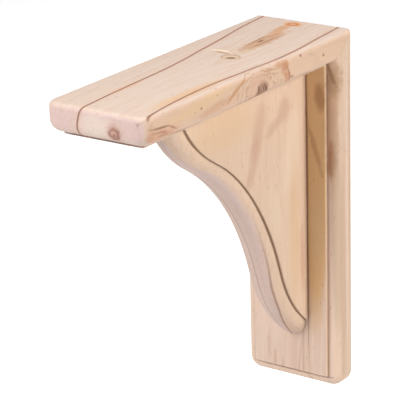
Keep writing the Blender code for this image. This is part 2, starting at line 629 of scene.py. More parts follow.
class WoodEffects:
    """The effects that every pine finish here shares, built once. Places are in millimetres."""

    oval_inputs = {"Place": (0, 0, 0), "Centre": (0, 0, 0), "Reach": (1, 1, 1), "Turn": (0, 0, 0)}

    def __init__(self) -> None:
        """Builds the groups."""
        self.rings = self.build_rings()
        self.fibre = self.build_fibre()
        self.mark = self.build_mark()
        self.knot_rings = self.build_knot_rings()
        self.cuts = self.build_cuts()

    @staticmethod
    def build_rings() -> Effect:
        """Growth rings round a pith: pale early wood that darkens to a thin late-wood line.

        Returns:
            The effect. Place is across, depth and along, from the pith.
        """
        group = Effect("growth_rings", {"Place": (0, 0, 0), "Marked Radius": 20.0, "Spacing": 3.0,
                                        "Wander": 1.0, "Line Width": 0.6},
                       ("Late Wood", "Marked Ring", "Ring Flush", "Tone", "Beyond"))
        w = group.wires
        place = group.take("Place")
        # Where Wander is 1, the rings sway by 2 mm and ripple by 0.35 mm to each side at the most
        grain = w.drawn_out(place, 0.12)
        sway = w.times(w.waver(grain, scale=0.055, detail=2.0), 4.0)
        ripple = w.times(w.waver(grain, scale=0.33, detail=3.0, rough=0.6), 0.7)
        shift = w.times(w.plus(sway, ripple), group.take("Wander"))
        radius = w.plus(w.vector("LENGTH", w.drawn_out(place, 0)), shift)
        from_mark = w.minus(radius, group.take("Marked Radius"))
        # Each ring darkens over nearly its whole width, ends sharply and is as dark as chance has it
        phase = w.math("DIVIDE", from_mark, group.take("Spacing"))
        share = w.math("FRACT", phase)
        late = w.times(w.math("POWER", w.ramp(share, 0.30, 0.97), 2.0), w.fade(share, 0.975, 1.0))
        chance = w.node("TexWhiteNoise", noise_dimensions="1D")
        w.feed(chance.inputs["W"], w.math("FLOOR", phase))
        group.give("Late Wood", w.times(late, w.ramp(chance.outputs["Value"], 0.0, 1.0, start=0.35)))
        # The marked line lies just inside the marked radius, and Beyond starts there
        near = w.size(w.plus(from_mark, 0.25))
        width = group.take("Line Width")
        group.give("Marked Ring", w.fade(near, w.times(width, 0.25), width))
        group.give("Ring Flush", w.fade(near, 0.0, w.times(width, 4.0)))
        group.give("Tone", w.noise(w.join(w.times(radius, 0.22), 0.0, 0.0), scale=1.0, detail=2.0))
        group.give("Beyond", w.ramp(from_mark, -0.3, 0.3))
        return group

    @staticmethod
    def build_fibre() -> Effect:
        """Fine fibres along the grain, with the short dark dashes of resin canals.

        Returns:
            The effect. Place is across, depth and along.
        """
        group = Effect("fibre", {"Place": (0, 0, 0)}, ("Streak", "Fine", "Canal"))
        w = group.wires
        place = group.take("Place")
        group.give("Streak", w.noise(w.drawn_out(place, 0.05), scale=0.55, detail=3.0, rough=0.6))
        group.give("Fine", w.noise(w.drawn_out(place, 0.035), scale=3.2, detail=3.0, rough=0.7))
        cells = w.node("TexVoronoi", feature="F1")
        w.feed(cells.inputs["Vector"], w.drawn_out(place, 0.16))
        w.feed(cells.inputs["Scale"], 0.62)
        dash = w.fade(cells.outputs["Distance"], 0.09, 0.16)
        some = w.ramp(w.noise(place, scale=0.21, detail=1.0), 0.46, 0.58)
        group.give("Canal", w.times(dash, some))
        return group

    @staticmethod
    def reach_share(group: Effect) -> Socket:
        """Measures how far a place lies from a centre, as a share of an ellipsoid's reach.

        Args:
            group: An effect with the oval inputs.

        Returns:
            0 at the centre and 1 on the ellipsoid.
        """
        w = group.wires
        turned = w.node("VectorRotate", rotation_type="EULER_XYZ")
        w.feed(turned.inputs["Vector"], w.vector("SUBTRACT", group.take("Place"), group.take("Centre")))
        w.feed(turned.inputs["Rotation"], group.take("Turn"))
        return w.vector("LENGTH", w.vector("DIVIDE", turned.outputs[0], group.take("Reach")))

    def build_mark(self) -> Effect:
        """A mark with ragged edges inside an ellipsoid: a knot, a stain, a fleck or a pocket.

        Returns:
            The effect.
        """
        group = Effect("mark", {**self.oval_inputs, "Softness": 0.5, "Ragged": 0.2, "Fineness": 0.5},
                       ("Mask",))
        w = group.wires
        rough = w.waver(group.take("Place"), group.take("Fineness"), detail=3.0, rough=0.6)
        ragged = w.times(group.take("Ragged"), 2.0)
        share = w.plus(self.reach_share(group), w.times(rough, ragged))
        soft = group.take("Softness")
        group.give("Mask", w.fade(share, w.minus(1.0, soft), w.plus(1.0, soft)))
        return group

    def build_knot_rings(self) -> Effect:
        """Draws the growth lines that bend round a knot, as ovals that fade outwards.

        Returns:
            The effect. Reach is the outermost oval.
        """
        group = Effect("knot_rings", {**self.oval_inputs, "Count": 6.0}, ("Line",))
        w = group.wires
        place = group.take("Place")
        share = w.plus(self.reach_share(group), w.times(w.waver(place, scale=0.16, detail=2.0), 0.35))
        phase = w.math("FRACT", w.times(share, group.take("Count")))
        line = w.times(w.ramp(phase, 0.45, 0.9), w.fade(phase, 0.92, 1.0))
        broken = w.ramp(w.noise(place, scale=0.3, detail=2.0), 0.38, 0.6)
        shown = w.times(w.ramp(share, 0.3, 0.45), w.fade(share, 0.75, 1.1))
        group.give("Line", w.times(line, broken, shown))
        return group

    @staticmethod
    def build_cuts() -> Effect:
        """Tells faces sawn across the grain, faces on the side of the piece and arrises apart.

        Returns:
            The effect. Side Start and Side End say how squarely a face has to look sideways.
        """
        group = Effect("cut_faces",
                       {"Normal": (0, 0, 1), "Grain": (0, 1, 0), "Side Start": 0.5, "Side End": 0.9},
                       ("Side", "End", "Arris"))
        w = group.wires
        normal, grain = group.take("Normal"), group.take("Grain")
        sideways = w.size(w.vector("DOT_PRODUCT", normal, (1, 0, 0)))
        lengthways = w.size(w.vector("DOT_PRODUCT", normal, grain))
        facing = w.size(w.split(w.vector("CROSS_PRODUCT", normal, grain))[0])
        group.give("Side", w.ramp(sideways, group.take("Side Start"), group.take("Side End")))
        group.give("End", w.ramp(lengthways, 0.66, 0.82))
        squarest = w.math("MAXIMUM", w.math("MAXIMUM", sideways, lengthways), facing)
        group.give("Arris", w.fade(squarest, 0.90, 0.995))
        return group


class Grain(Enum):
    """Which way the fibres of a piece run."""

    LEVEL = (0, 1, 0)
    UPRIGHT = (0, 0, 1)


@dataclass(frozen=True)
class Mark:
    """One knot, stain or fleck: an ellipsoid in millimetres, turned in radians, with its colour."""

    centre: Point
    reach: Point
    colour: Colour
    strength: float = 1.0
    softness: float = 0.5           # of its edge, as a share of the reach
    ragged: float = 0.2             # how far its edge wanders
    fineness: float = 0.5           # of that wandering
    turn: Point = (0.0, 0.0, 0.0)


@dataclass(frozen=True)
class Knot:
    """A branch that the growth lines bend round: middle, outermost oval in millimetres, and turn."""

    centre: Point
    reach: Point
    turn: Point = (0.0, 0.0, 0.0)
    count: float = 6.0
    colour: Colour = (176, 128, 94)
    strength: float = 0.6


@dataclass(frozen=True)
class Station:
    """Where the pith and the marked ring of the log lie at one place along a piece, in millimetres."""

    along: float
    across: float
    depth: float
    radius: float


@dataclass(frozen=True)
class Surface:
    """What a finish knows of each point of a piece."""

    w: Wiring
    place: Socket
    along: Socket
    rings: bpy.types.NodeOutputs
    fibre: bpy.types.NodeOutputs
    cuts: bpy.types.NodeOutputs


@dataclass(frozen=True)
class Tint:
    """A colour that comes up as a pattern rises from one value to another."""

    colour: Colour
    strength: float
    start: float
    end: float


@dataclass(frozen=True)
class PineFinish:
    """Bare planed pine, cut from a log whose pith is followed along the piece."""

    name: str
    grain: Grain
    stations: tuple[Station, ...]
    spacing: float
    wander: float = 1.0
    early: Colour = (226, 206, 193)
    beyond: Colour = (226, 206, 193)        # outside the marked ring
    side: Colour = (230, 197, 170)
    end_grain: Colour = (229, 206, 199)
    late: Colour = (206, 168, 138)
    tone: Tint = Tint((224, 192, 166), 0.3, start=0.3, end=0.7)
    streak: Tint = Tint((216, 176, 146), 0.35, start=0.45, end=0.75)
    fibre: Tint = Tint((206, 170, 146), 0.28, start=0.35, end=0.75)
    pores: Tint = Tint((208, 168, 158), 0.5, start=0.48, end=0.62)
    # Painted shade at the foot of each step
    recess_shade: Tint = Tint((120, 82, 60), 0.75, start=0.4, end=0.95)
    # Painted highlight along rounded arrises
    arris: Colour = (238, 214, 200)
    line: Colour = (140, 92, 70)            # the marked ring
    flush: Colour = (224, 184, 160)         # on both sides of it
    canal: Colour = (150, 110, 84)
    side_range: tuple[float, float] = (0.5, 0.9)        # how squarely a side face looks sideways
    line_fade: tuple[float, float] = (900.0, 901.0)     # where along the grain the ring fades out
    line_width: float = 0.8
    beyond_strength: float = 0.0
    late_strength: float = 0.5
    late_share_across: float = 0.3          # of that strength, on end grain
    arris_highlight_strength: float = 0.35
    line_strength: float = 0.85
    flush_share: float = 0.5                # of that strength, beside the line
    canal_strength: float = 0.5
    roughness: tuple[float, float] = (0.54, 0.68)       # between and on the fibres
    roughness_range: tuple[float, float] = (0.2, 0.8)   # of the fibre pattern, for those two
    sheen: float = 0.35
    relief: float = 0.35
    relief_depth: float = 0.0001
    fibre_relief: float = 0.6
    ring_relief: float = 0.5
    marks: tuple[Mark, ...] = ()
    knots: tuple[Knot, ...] = ()

    def material(self, effects: WoodEffects) -> bpy.types.Material:
        """Builds the material.

        Args:
            effects: The shared effects.

        Returns:
            The material.
        """
        made = bpy.data.materials.new(self.name)
        made.use_nodes = True
        shader = made.node_tree.nodes["Principled BSDF"]
        w = Wiring(made.node_tree)
        at = self.surface(w, effects)
        colour = self.line_colour(at, self.marked_colour(at, effects, self.wood_colour(at)))
        w.feed(shader.inputs["Base Color"], colour)
        w.feed(shader.inputs["Roughness"],
               w.ramp(at.fibre["Fine"], *self.roughness_range, *self.roughness))
        w.feed(shader.inputs["Specular IOR Level"], self.sheen)
        bump = w.node("Bump")
        w.feed(bump.inputs["Strength"], self.relief)
        w.feed(bump.inputs["Distance"], self.relief_depth)
        w.feed(bump.inputs["Height"], w.plus(w.times(at.fibre["Fine"], self.fibre_relief),
                                             w.times(at.rings["Late Wood"], self.ring_relief)))
        w.feed(shader.inputs["Normal"], bump.outputs["Normal"])
        return made

    def surface(self, w: Wiring, effects: WoodEffects) -> Surface:
        """Places the shared effects on the piece.

        Args:
            w: The material's wiring.
            effects: The shared effects.

        Returns:
            Their outputs, with the place on the piece in millimetres.
        """
        point = w.node("TexCoord").outputs
        place = w.vector("MULTIPLY", point["Object"], (1 / MM, 1 / MM, 1 / MM))
        x, y, z = w.split(place)
        along, depth = (y, z) if self.grain is Grain.LEVEL else (z, y)
        from_pith = w.join(w.minus(x, self.curve(w, along, "across")),
                           w.minus(depth, self.curve(w, along, "depth")), along)
        rings = effects.rings.place(w, Place=from_pith, Marked_Radius=self.curve(w, along, "radius"),
                                    Spacing=self.spacing, Wander=self.wander,
                                    Line_Width=self.line_width)
        fibre = effects.fibre.place(w, Place=w.join(x, depth, along))
        cuts = effects.cuts.place(w, Normal=point["Normal"], Grain=self.grain.value,
                                  Side_Start=self.side_range[0], Side_End=self.side_range[1])
        return Surface(w, place, along, rings.outputs, fibre.outputs, cuts.outputs)

    def wood_colour(self, at: Surface) -> Socket:
        """Lays down the colour of the clear wood, with a painted highlight on its rounded arrises.

        Args:
            at: The effects on the piece.

        Returns:
            The colour.
        """
        w, end = at.w, at.cuts["End"]
        colour = w.blend(w.times(at.rings["Beyond"], self.beyond_strength), self.early, self.beyond)
        colour = w.blend(at.cuts["Side"], colour, self.side)
        colour = w.blend(end, colour, self.end_grain)
        lost = self.late_strength * (1 - self.late_share_across)
        late = w.minus(self.late_strength, w.times(end, lost))
        colour = w.blend(w.times(at.rings["Late Wood"], late), colour, self.late)
        colour = w.tint(self.tone, at.rings["Tone"], 1.0, colour)
        colour = w.tint(self.streak, at.fibre["Streak"], 1.0, colour)
        colour = w.tint(self.fibre, at.fibre["Fine"], 1.0, colour)
        colour = w.tint(self.pores, at.fibre["Fine"], end, colour)
        # Painted highlight on every rounded arris and moulding
        return w.blend(w.times(at.cuts["Arris"], self.arris_highlight_strength), colour, self.arris)

    def marked_colour(self, at: Surface, effects: WoodEffects, colour: Socket) -> Socket:
        """Adds the knots, stains and flecks.

        Args:
            at: The effects on the piece.
            effects: The shared effects.
            colour: The colour so far.

        Returns:
            The colour.
        """
        w = at.w
        for knot in self.knots:
            rings = effects.knot_rings.place(w, Place=at.place, Centre=knot.centre, Reach=knot.reach,
                                             Turn=knot.turn, Count=knot.count)
            colour = w.blend(w.times(rings.outputs["Line"], knot.strength), colour, knot.colour)
        for mark in self.marks:
            spot = effects.mark.place(w, Place=at.place, Centre=mark.centre, Reach=mark.reach,
                                      Turn=mark.turn, Softness=mark.softness, Ragged=mark.ragged,
                                      Fineness=mark.fineness)
            colour = w.blend(w.times(spot.outputs["Mask"], mark.strength), colour, mark.colour)
        return colour

    def line_colour(self, at: Surface, colour: Socket) -> Socket:
        """Draws the marked ring, the resin canals and the painted shade at the foot of each step.

        Args:
            at: The effects on the piece.
            colour: The colour so far.

        Returns:
            The colour.
        """
        w = at.w
        shown = w.times(w.minus(1.0, at.cuts["Side"]), w.fade(at.along, *self.line_fade),
                        self.line_strength)
        colour = w.blend(w.times(at.rings["Ring Flush"], shown, self.flush_share), colour, self.flush)
        colour = w.blend(w.times(at.rings["Marked Ring"], shown), colour, self.line)
        colour = w.blend(w.times(at.fibre["Canal"], self.canal_strength), colour, self.canal)
        # Painted shade at the foot of each step, following the mesh layer noted for it
        foot = w.node("Attribute", attribute_name=RECESS).outputs["Fac"]
        return w.tint(self.recess_shade, foot, 1.0, colour)

    def curve(self, w: Wiring, along: Socket, name: str) -> Socket | float:
        """Follows one value of the stations down the piece, on a smooth curve.

        Args:
            w: The material's wiring.
            along: Place along the grain, in millimetres.
            name: Which value: across, depth or radius.

        Returns:
            The value there.
        """
        values = [getattr(station, name) for station in self.stations]
        low, high = min(values), max(values)
        if low == high:
            return low
        start, end = self.stations[0].along, self.stations[-1].along
        share = w.node("MapRange", interpolation_type="LINEAR")
        for key, given in (("Value", along), ("From Min", start), ("From Max", end)):
            w.feed(share.inputs[key], given)
        made = w.node("FloatCurve")
        points = made.mapping.curves[0].points
        for index, (station, value) in enumerate(zip(self.stations, values)):
            where = ((station.along - start) / (end - start), (value - low) / (high - low))
            if index < 2:
                points[index].location = where
            else:
                points.new(*where)
        made.mapping.update()
        w.feed(made.inputs["Value"], share.outputs["Result"])
        return w.plus(w.times(made.outputs["Value"], high - low), low)


# ---- Pieces ----


BOARD_PINE = PineFinish(
    name="board_pine", grain=Grain.LEVEL,
    stations=(Station(-195, 11.5, 95.5, 22.2), Station(-139, 7.3, 95.5, 21.5),
              Station(-104, 6.7, 95.5, 23.0), Station(-65, 5.1, 95.5, 26.3),
              Station(-24, 0.5, 95.5, 27.6), Station(0, -1.6, 95.5, 27.6)),
    spacing=3.1, wander=0.35, early=(228, 209, 196), side=(229, 195, 166), end_grain=(230, 204, 201),
    # A faint painted highlight on the arrises and painted shade at the foot of each step
    late_strength=0.28, arris_highlight_strength=0.12, recess_shade=Tint((146, 110, 92), 0.5, start=0.4, end=0.95),
    marks=(
        # End of the board: painted shade along the foot of the step under its front
        Mark((0, -188, 89.2), (22, 1.5, 1.4), (132, 96, 86), 0.8, 0.35, 0.5, 0.3),
        # The pith, with the wood stained round it
        Mark((2, -195, 98.0), (11, 4.0, 6.0), (238, 222, 206), 0.6, 0.5, 0.5, 0.2),
        Mark((12.4, -195, 96.3), (4.6, 6.0, 5.0), (206, 164, 148), 0.75, 0.4, 0.5, 0.4),
        Mark((12.4, -195, 95.9), (3.4, 5.0, 3.4), (158, 108, 92), 0.85, 0.3, 0.5, 0.5),
        Mark((12.2, -195, 96.1), (2.0, 5.0, 1.8), (212, 172, 154), 0.8, 0.35, 0.5, 0.6),
        Mark((12.4, -195, 95.3), (0.9, 5.0, 0.8), (150, 104, 88), 0.8, 0.4, 0.4, 0.8),
        # Right side: knot, its halo, the darker hook behind it and the band before it
        Mark((32, -95, 97), (3, 10.0, 7.0), (222, 178, 152), 0.6, 0.5, 0.5, 0.25),
        Mark((31.5, -90.6, 93.9), (6, 5.4, 5.0), (156, 114, 88), 0.9, 0.4, 0.35, 0.3, (0.87, 0, 0)),
        Mark((31.5, -94.2, 94.9), (4, 3.4, 0.5), (112, 78, 62), 0.85, 0.5, 0.6, 0.6, (1.34, 0, 0)),
        Mark((31.5, -86.7, 94.5), (4, 4.1, 0.6), (124, 82, 68), 0.85, 0.5, 0.6, 0.6, (0.87, 0, 0)),
        Mark((31.5, -89.4, 94.0), (4, 4.2, 0.6), (196, 164, 144), 0.7, 0.5, 0.4, 0.4, (0.73, 0, 0)),
        Mark((31.5, -89.5, 94.6), (4, 2.4, 0.5), (128, 88, 72), 0.8, 0.5, 0.6, 0.6, (0.98, 0, 0)),
        Mark((31.5, -100.9, 93.6), (4, 1.8, 2), (222, 164, 148), 0.35, 0.6, 0.5, 0.4),
        Mark((31.9, -69.0, 102.3), (3, 3.2, 3.0), (200, 138, 98), 0.8, 0.6, 0.8, 0.35),
        Mark((31.2, -66.6, 96.4), (4, 5.6, 2.6), (206, 148, 112), 0.8, 0.6, 0.8, 0.35, (1.01, 0, 0)),
        Mark((31.5, -65.2, 97.5), (4, 5.7, 0.6), (176, 120, 86), 0.75, 0.5, 0.8, 0.5, (1.21, 0, 0)),
        Mark((31.8, -74.3, 104.4), (3, 4.0, 1.6), (206, 150, 110), 0.7, 0.7, 0.8, 0.35),
        Mark((32, -84.0, 103.9), (3, 7.0, 0.5), (204, 150, 112), 0.7, 0.6, 0.7, 0.4, (0.13, 0, 0)),
        Mark((32, -82.8, 101.5), (3, 7.8, 0.5), (200, 154, 124), 0.6, 0.6, 0.7, 0.4, (0.18, 0, 0)),
        Mark((32, -63.0, 95.0), (3, 2.5, 0.5), (190, 140, 108), 0.7, 0.5, 0.8, 0.5),
        Mark((32, -109.1, 103.6), (3, 3.2, 0.8), (206, 150, 100), 0.8, 0.5, 0.5, 0.4, (-0.48, 0, 0)),
        Mark((32, -134.6, 96.5), (3, 13, 2.6), (212, 166, 132), 0.75, 0.6, 0.7, 0.25, (-0.1, 0, 0)),
        Mark((31.5, -124, 94.2), (4, 12, 2.0), (224, 184, 158), 0.55, 0.6, 0.7, 0.25),
        Mark((32, -117.1, 100.0), (3, 7.5, 1.3), (204, 152, 110), 0.8, 0.5, 0.5, 0.3, (-0.49, 0, 0)),
        Mark((32, -150, 101.5), (2, 30, 3.0), (232, 194, 150), 0.55, 0.5, 0.2, 0.1, (-0.1, 0, 0)),
        Mark((32, -181, 93.6), (3, 14, 4.4), (212, 162, 134), 0.75, 0.5, 0.7, 0.3),
        Mark((32, -190, 96.2), (2, 2.4, 5.0), (212, 154, 118), 0.5, 0.6, 0.6, 0.4),
        Mark((31.6, -183.4, 99.2), (3, 7.1, 0.6), (150, 104, 76), 0.8, 0.5, 0.6, 0.4, (0.09, 0, 0)),
        Mark((31.8, -183.4, 96.9), (3, 5.5, 0.7), (190, 136, 108), 0.7, 0.5, 0.8, 0.4, (0.15, 0, 0)),
        Mark((31.5, -179.3, 94.8), (3, 5.1, 0.6), (186, 128, 100), 0.6, 0.5, 0.8, 0.4),
        Mark((31.7, -172.3, 96.8), (3, 4.6, 0.6), (176, 124, 94), 0.7, 0.5, 0.6, 0.4, (0.45, 0, 0)),
        Mark((32, -53.6, 104.4), (1.5, 0.9, 0.8), (140, 98, 74), 0.8, 0.4, 0.3, 1.0),
        Mark((32, -30.4, 99.0), (1.5, 1.0, 0.7), (140, 98, 74), 0.8, 0.4, 0.3, 1.0),
        Mark((32, -61.0, 94.6), (1.5, 1.2, 0.8), (176, 128, 104), 0.7, 0.4, 0.4, 1.0),
        Mark((32, -147.3, 99.7), (1.5, 1.0, 0.7), (168, 122, 92), 0.7, 0.4, 0.3, 1.0),
        # Top: the golden strip along the right line and the spike knot at the back
        Mark((24.5, -148, 106.5), (3.6, 30, 2), (228, 186, 138), 0.7, 0.5, 0.25, 0.1),
        Mark((-10, -153, 106.5), (2.4, 12, 2), (232, 186, 154), 0.6, 0.5, 0.25, 0.1),
        Mark((3.0, -47.4, 106.5), (4.8, 23, 2), (206, 164, 134), 0.85, 0.35, 0.7, 0.3),
        Mark((6.2, -64.7, 106.5), (2.4, 8.4, 2), (216, 188, 150), 0.6, 0.5, 0.7, 0.3),
        Mark((-0.8, -36.5, 106.5), (1.2, 6.7, 2), (192, 156, 108), 0.6, 0.5, 0.6, 0.4, (0, 0, 0.16)),
        Mark((-0.9, -48.1, 106.5), (0.7, 10.3, 2), (176, 128, 94), 0.8, 0.5, 0.8, 0.4, (0, 0, -0.1)),
        Mark((4.6, -48.9, 106.5), (0.7, 12, 2), (174, 126, 92), 0.8, 0.5, 0.8, 0.4),
        Mark((1.2, -31.8, 106.5), (1.2, 7.2, 2), (212, 150, 114), 0.6, 0.5, 0.6, 0.4, (0, 0, 0.24)),
        Mark((5.6, -33.0, 106.5), (0.5, 5.1, 2), (190, 150, 116), 0.7, 0.5, 0.7, 0.5),
        Mark((1.5, -46.3, 106.5), (0.8, 2.7, 2), (122, 80, 54), 0.9, 0.4, 0.5, 0.5),
        Mark((-3.2, -75.9, 106.5), (0.7, 6.4, 2), (176, 132, 94), 0.85, 0.5, 0.5, 0.4, (0, 0, -1.37)),
        Mark((-5.1, -72.4, 106.5), (1.4, 8.0, 2), (250, 228, 198), 0.95, 0.4, 0.4, 0.3, (0, 0, 1.39)),
        Mark((-0.5, -71.4, 106.5), (0.5, 3.3, 2), (176, 136, 98), 0.7, 0.5, 0.6, 0.5, (0, 0, -1.37)),
        Mark((-2.4, -20, 106.5), (3.0, 13, 2), (214, 162, 118), 0.8, 0.5, 0.6, 0.3, (0, 0, -0.1)),
        Mark((-2.2, -7.5, 106.5), (5.2, 4.2, 2), (232, 166, 104), 0.9, 0.35, 0.3, 0.3),
        Mark((-2.2, -7.8, 106.5), (3.6, 2.8, 2), (190, 116, 72), 0.8, 0.3, 0.5, 0.5),
        Mark((-2.4, -7.6, 106.5), (2.4, 1.7, 2), (228, 176, 144), 0.85, 0.3, 0.4, 0.5),
        Mark((5.4, -81.0, 106.5), (5.6, 4.8, 2), (178, 138, 100), 0.8, 0.15, 0.25, 0.3),
        Mark((5.6, -81.3, 106.5), (4.8, 4.0, 2), (232, 204, 178), 0.85, 0.2, 0.25, 0.3),
        Mark((6.2, -82.2, 106.5), (1.3, 2.8, 2), (104, 74, 46), 0.95, 0.4, 0.35, 0.5, (0, 0, 1.06)),
    ),
    knots=(Knot((32, -93.2, 94.9), (14, 25, 14.5), (0.12, 0, 0), 7.0),),
)

PLATE_PINE = PineFinish(
    name="plate_pine", grain=Grain.UPRIGHT,
    stations=(Station(-107, -30, 28, 60.5), Station(0, -26, 26, 57.5), Station(107, -24, 24, 56)),
    spacing=3.6, wander=0.6, line_strength=0.3, line=(186, 134, 108),
    # Painted shade at the foot of each step
    flush=(218, 178, 156), recess_shade=Tint((170, 128, 98), 0.6, start=0.4, end=0.95),
    early=(236, 209, 192), side=(232, 204, 178), late_strength=0.3,
    # Painted highlight on the arrises and mouldings, strongest on this piece
    arris=(242, 210, 184), arris_highlight_strength=0.5,
    marks=(
        # Front: a golden tint beside the brace, partly the wood's tone and partly the painted warm
        # colour of the shade there, painted shade in the corner along the brace, and a pink streak
        # below
        Mark((18, -18.6, 40), (9.5, 2.0, 110), (228, 186, 130), 0.85, 0.2, 0.1, 0.1),
        # Painted shade in the corner where the brace meets the plate
        Mark((12.7, -18, 12), (0.8, 1.0, 90), (140, 92, 58), 0.8, 0.5, 0.1),
        Mark((22, -18, 70), (3.4, 1.0, 14), (168, 116, 78), 0.6, 0.5, 0.7, 0.15, (0.12, 0, 0)),
        Mark((18, -18, 40), (1.6, 1.0, 14), (180, 130, 92), 0.5, 0.5, 0.7, 0.15, (0, 0.3, 0)),
        Mark((19, -18, -8), (5.0, 1.0, 22), (222, 190, 150), 0.5, 0.7, 0.4, 0.1),
        Mark((3.0, -18, -96), (3.2, 2.0, 26), (220, 182, 162), 0.45, 0.5, 0.3, 0.15),
        Mark((6.6, -18, -92), (0.5, 2.0, 14), (204, 160, 138), 0.5, 0.6, 0.5, 0.2, (0, -0.1, 0)),
        # Painted shade along the foot of the step across the bottom of the face
        Mark((2, -16.6, -100.0), (26, 1.6, 0.8), (132, 98, 70), 0.75, 0.4, 0.6, 0.3),
        Mark((-15, -18, -86), (1.1, 2.0, 9.0), (206, 162, 134), 0.4, 0.7, 0.6, 0.25),
        Mark((-10.5, -18, -96), (1.0, 2.0, 7.0), (198, 152, 122), 0.45, 0.7, 0.6, 0.25),
        Mark((-5, -18, -100), (1.0, 2.0, 6.0), (204, 158, 132), 0.4, 0.7, 0.6, 0.25),
        # Right edge: a brown streak in the moulding and torn grain where it turns the corner
        Mark((28.0, -15, 56), (3.2, 5.0, 36), (204, 158, 120), 0.7, 0.5, 0.5, 0.15),
        Mark((27.6, -15.4, 33), (2.6, 4.0, 10), (176, 124, 86), 0.8, 0.5, 0.5, 0.2),
        Mark((28.5, -14, 80), (4.4, 5.0, 9), (186, 146, 110), 0.7, 0.5, 0.8, 0.35),
        Mark((27.5, -15, 84), (1.0, 4.0, 8), (150, 108, 74), 0.6, 0.5, 0.9, 0.5, (0, 0.3, 0)),
        Mark((30, -14, -10), (2.6, 4.0, 60), (206, 176, 146), 0.55, 0.4, 0.2, 0.15),
        Mark((32, -6.4, 0), (2.0, 1.0, 95), (236, 204, 186), 0.8, 0.5, 0.2, 0.1),
        Mark((32, -3.8, 20), (1.0, 0.5, 70), (192, 156, 130), 0.7, 0.5, 0.4, 0.15),
        Mark((32, -10.4, -40), (1.6, 2.4, 66), (208, 172, 144), 0.6, 0.5, 0.3, 0.1),
    ),
)

BRACE_PINE = PineFinish(
    name="brace_pine", grain=Grain.UPRIGHT,
    stations=(Station(-85, -239.6, -80, 250), Station(89, -239.6, -80, 250)),
    spacing=3.4, wander=0.9, line_strength=0.6, line_fade=(-20, 25), late_strength=0.15,
    # Greyer inside the marked ring and lighter, warmer outside it: partly the wood's tone, partly
    # painted shade on the left quarter-round and painted light on the right one
    early=(222, 198, 190), side=(235, 205, 178), beyond=(233, 205, 182),
    beyond_strength=1.0, side_range=(0.62, 0.99), late=(214, 176, 146), arris_highlight_strength=0.0,
    # Painted shade at the foot of each step, the dark line down the front
    recess_shade=Tint((142, 104, 74), 0.8, start=0.4, end=0.95),
    marks=(
        # Ridge where the two quarter-rounds of the front meet
        Mark((1.4, -80, 0), (0.35, 110, 110), (160, 132, 118), 0.6, 0.6, 0.0),
        # Right face: darker and paler streaks under the board, golden ones, a rusty one lower down
        Mark((12.6, -65.4, 66.6), (3, 5, 11), (208, 166, 140), 0.65, 0.7, 0.6, 0.1, (0.3, 0, 0)),
        Mark((12.6, -70.4, 50.3), (3, 4.6, 9), (206, 162, 136), 0.65, 0.7, 0.6, 0.1, (0.29, 0, 0)),
        Mark((12.6, -75.4, 37.4), (3, 3.4, 7), (206, 164, 138), 0.55, 0.7, 0.6, 0.12, (0.47, 0, 0)),
        Mark((12.6, -40.8, 67.7), (3, 5.6, 6.6), (208, 168, 142), 0.6, 0.5, 0.8, 0.12, (0.83, 0, 0)),
        Mark((12.6, -51.1, 61), (3, 3.4, 7.8), (208, 168, 142), 0.6, 0.5, 0.8, 0.15, (1.13, 0, 0)),
        Mark((12.6, -33.6, 40), (3, 7, 24), (240, 216, 192), 0.6, 0.7, 0.4, 0.06, (0.2, 0, 0)),
        Mark((12.6, -50.4, 8.7), (3, 5, 18), (234, 208, 180), 0.5, 0.6, 0.4, 0.08, (-0.23, 0, 0)),
        Mark((12.6, -100, 72), (3, 30, 12), (226, 190, 152), 0.7, 0.6, 0.3, 0.06),
        Mark((12.6, -32, -10), (3, 5.0, 42), (226, 190, 150), 0.6, 0.6, 0.3, 0.1),
        Mark((12.6, -23.5, -26), (3, 2.2, 20), (212, 166, 138), 0.6, 0.6, 0.4, 0.15),
    ),
)


@dataclass
class ShelfBoard:
    """The board that carries the shelf, with a split at its front right corner."""

    blank: MouldedBlank = field(default_factory=lambda: MouldedBlank(length=0.195))
    finish: PineFinish = BOARD_PINE
    split_place: Point = (0.0300, -0.1942, 0.1050)
    split_reach: float = 0.0040     # to the left and to the right of that place
    split_width: float = 0.0005
    split_depth: float = 0.0035     # behind and before it
    split_fall: float = 28.0        # degrees down to the right
    left_share: float = 0.1         # of the width, left at its left end
    inner_share: float = 0.3        # of the width, left at its inner end

    def build(self, effects: WoodEffects) -> bpy.types.Object:
        """Builds the board.

        Args:
            effects: The shared effects.

        Returns:
            The finished board.
        """
        board = self.blank.shape("shelf_board")
        board.cut_away(self.split())
        return board.finish(self.finish.material(effects), "top_board", "board_pine")

    def split(self) -> Workpiece:
        """Shapes the wedge that opens the split: it closes inwards and to the left.

        Returns:
            The wedge.
        """
        corner = Vector(self.split_place)
        size = (2 * self.split_reach, 2 * self.split_depth, self.split_width)
        wedge = Workpiece("split", size, self.split_place)
        with wedge.shaping():
            wedge.pick(Pick.EDGES, lambda edge: climb(edge) > MM / 10 and all(
                v.co.x < corner.x for v in edge.verts))
            bpy.ops.transform.resize(value=(1, 1, self.left_share))
            wedge.pick(Pick.EDGES, lambda edge: climb(edge) > NEAR and all(
                v.co.y > corner.y for v in edge.verts))
            bpy.ops.transform.resize(value=(1, 1, self.inner_share))
        wedge.turn(Vector((0, 1, 0)), -math.radians(self.split_fall), corner)
        return wedge


@dataclass
class WallPlate:
    """The plate that lies on the wall: the same moulding, stood upright."""

    blank: MouldedBlank = field(default_factory=lambda: MouldedBlank(length=0.213))
    finish: PineFinish = PLATE_PINE

    def build(self, effects: WoodEffects) -> bpy.types.Object:
        """Builds the plate.

        Args:
            effects: The shared effects.

        Returns:
            The finished plate.
        """
        plate = self.blank.shape("wall_plate")
        plate.turn(Vector((0, 1, 1)).normalized(), math.pi, Vector((0, 0, TOP)))
        return plate.finish(self.finish.material(effects), "back_plate", "plate_pine")


@dataclass(frozen=True)
class Span:
    """A run of the ogee: an arc between two slopes, in degrees below level, or a straight."""

    start: float
    end: float
    share: float            # radius of the arc or length of the straight
    steps: int = 22


